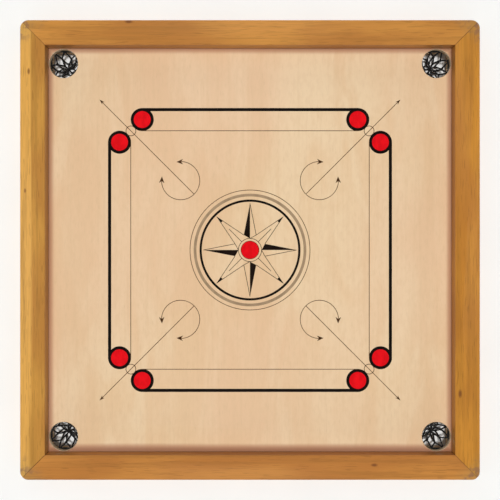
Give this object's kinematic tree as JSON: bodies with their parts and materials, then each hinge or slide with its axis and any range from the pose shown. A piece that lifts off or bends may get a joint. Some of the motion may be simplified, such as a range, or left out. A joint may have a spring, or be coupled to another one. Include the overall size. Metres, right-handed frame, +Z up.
{
  "type": "carrom board",
  "caption": "Square wooden table game board: mitred frame round a varnished plywood sheet with printed lines, a star and a netted round pocket at each corner.",
  "frame": {"origin": "centre of the square frame, on the surface that the board stands on", "axes": "+Z up out of the playing surface, +X to the right and +Y to the back along the rails"},
  "size_m": [0.66, 0.66, 0.05],
  "materials": {
    "rail_hardwood": "varnished hardwood",
    "sheet_plywood": "lacquered plywood",
    "key_plywood": "sawn plywood",
    "batten_softwood": "planed softwood",
    "nail_steel": "bright wire",
    "screw_steel": "zinc plated",
    "tack_steel": "blued",
    "net_cord": "knotted cord",
    "black_ink": "screen print",
    "red_ink": "screen print",
    "brown_ink": "screen print"
  },
  "bodies": {
    "root": {"batten_back": "batten_softwood", "batten_front": "batten_softwood", "batten_left": "batten_softwood", "batten_right": "batten_softwood", "batten_screws": "screw_steel", "corner_nails": "nail_steel", "mitre_key_back_left": "key_plywood", "mitre_key_back_right": "key_plywood", "mitre_key_front_left": "key_plywood", "mitre_key_front_right": "key_plywood", "net_tacks_back_left": "tack_steel", "net_tacks_back_right": "tack_steel", "net_tacks_front_left": "tack_steel", "net_tacks_front_right": "tack_steel", "playing_panel": "sheet_plywood", "pocket_net_back_left": "net_cord", "pocket_net_back_right": "net_cord", "pocket_net_front_left": "net_cord", "pocket_net_front_right": "net_cord", "print_base_discs": "red_ink", "print_base_lines": "black_ink", "print_black_ring": "black_ink", "print_brown_band": "brown_ink", "print_centre_disc": "red_ink", "print_corner_arrows": "black_ink", "print_disc_rim": "black_ink", "print_outer_circle": "black_ink", "print_star": "black_ink", "rail_back": "rail_hardwood", "rail_front": "rail_hardwood", "rail_left": "rail_hardwood", "rail_right": "rail_hardwood"}
  },
  "joints": []
}
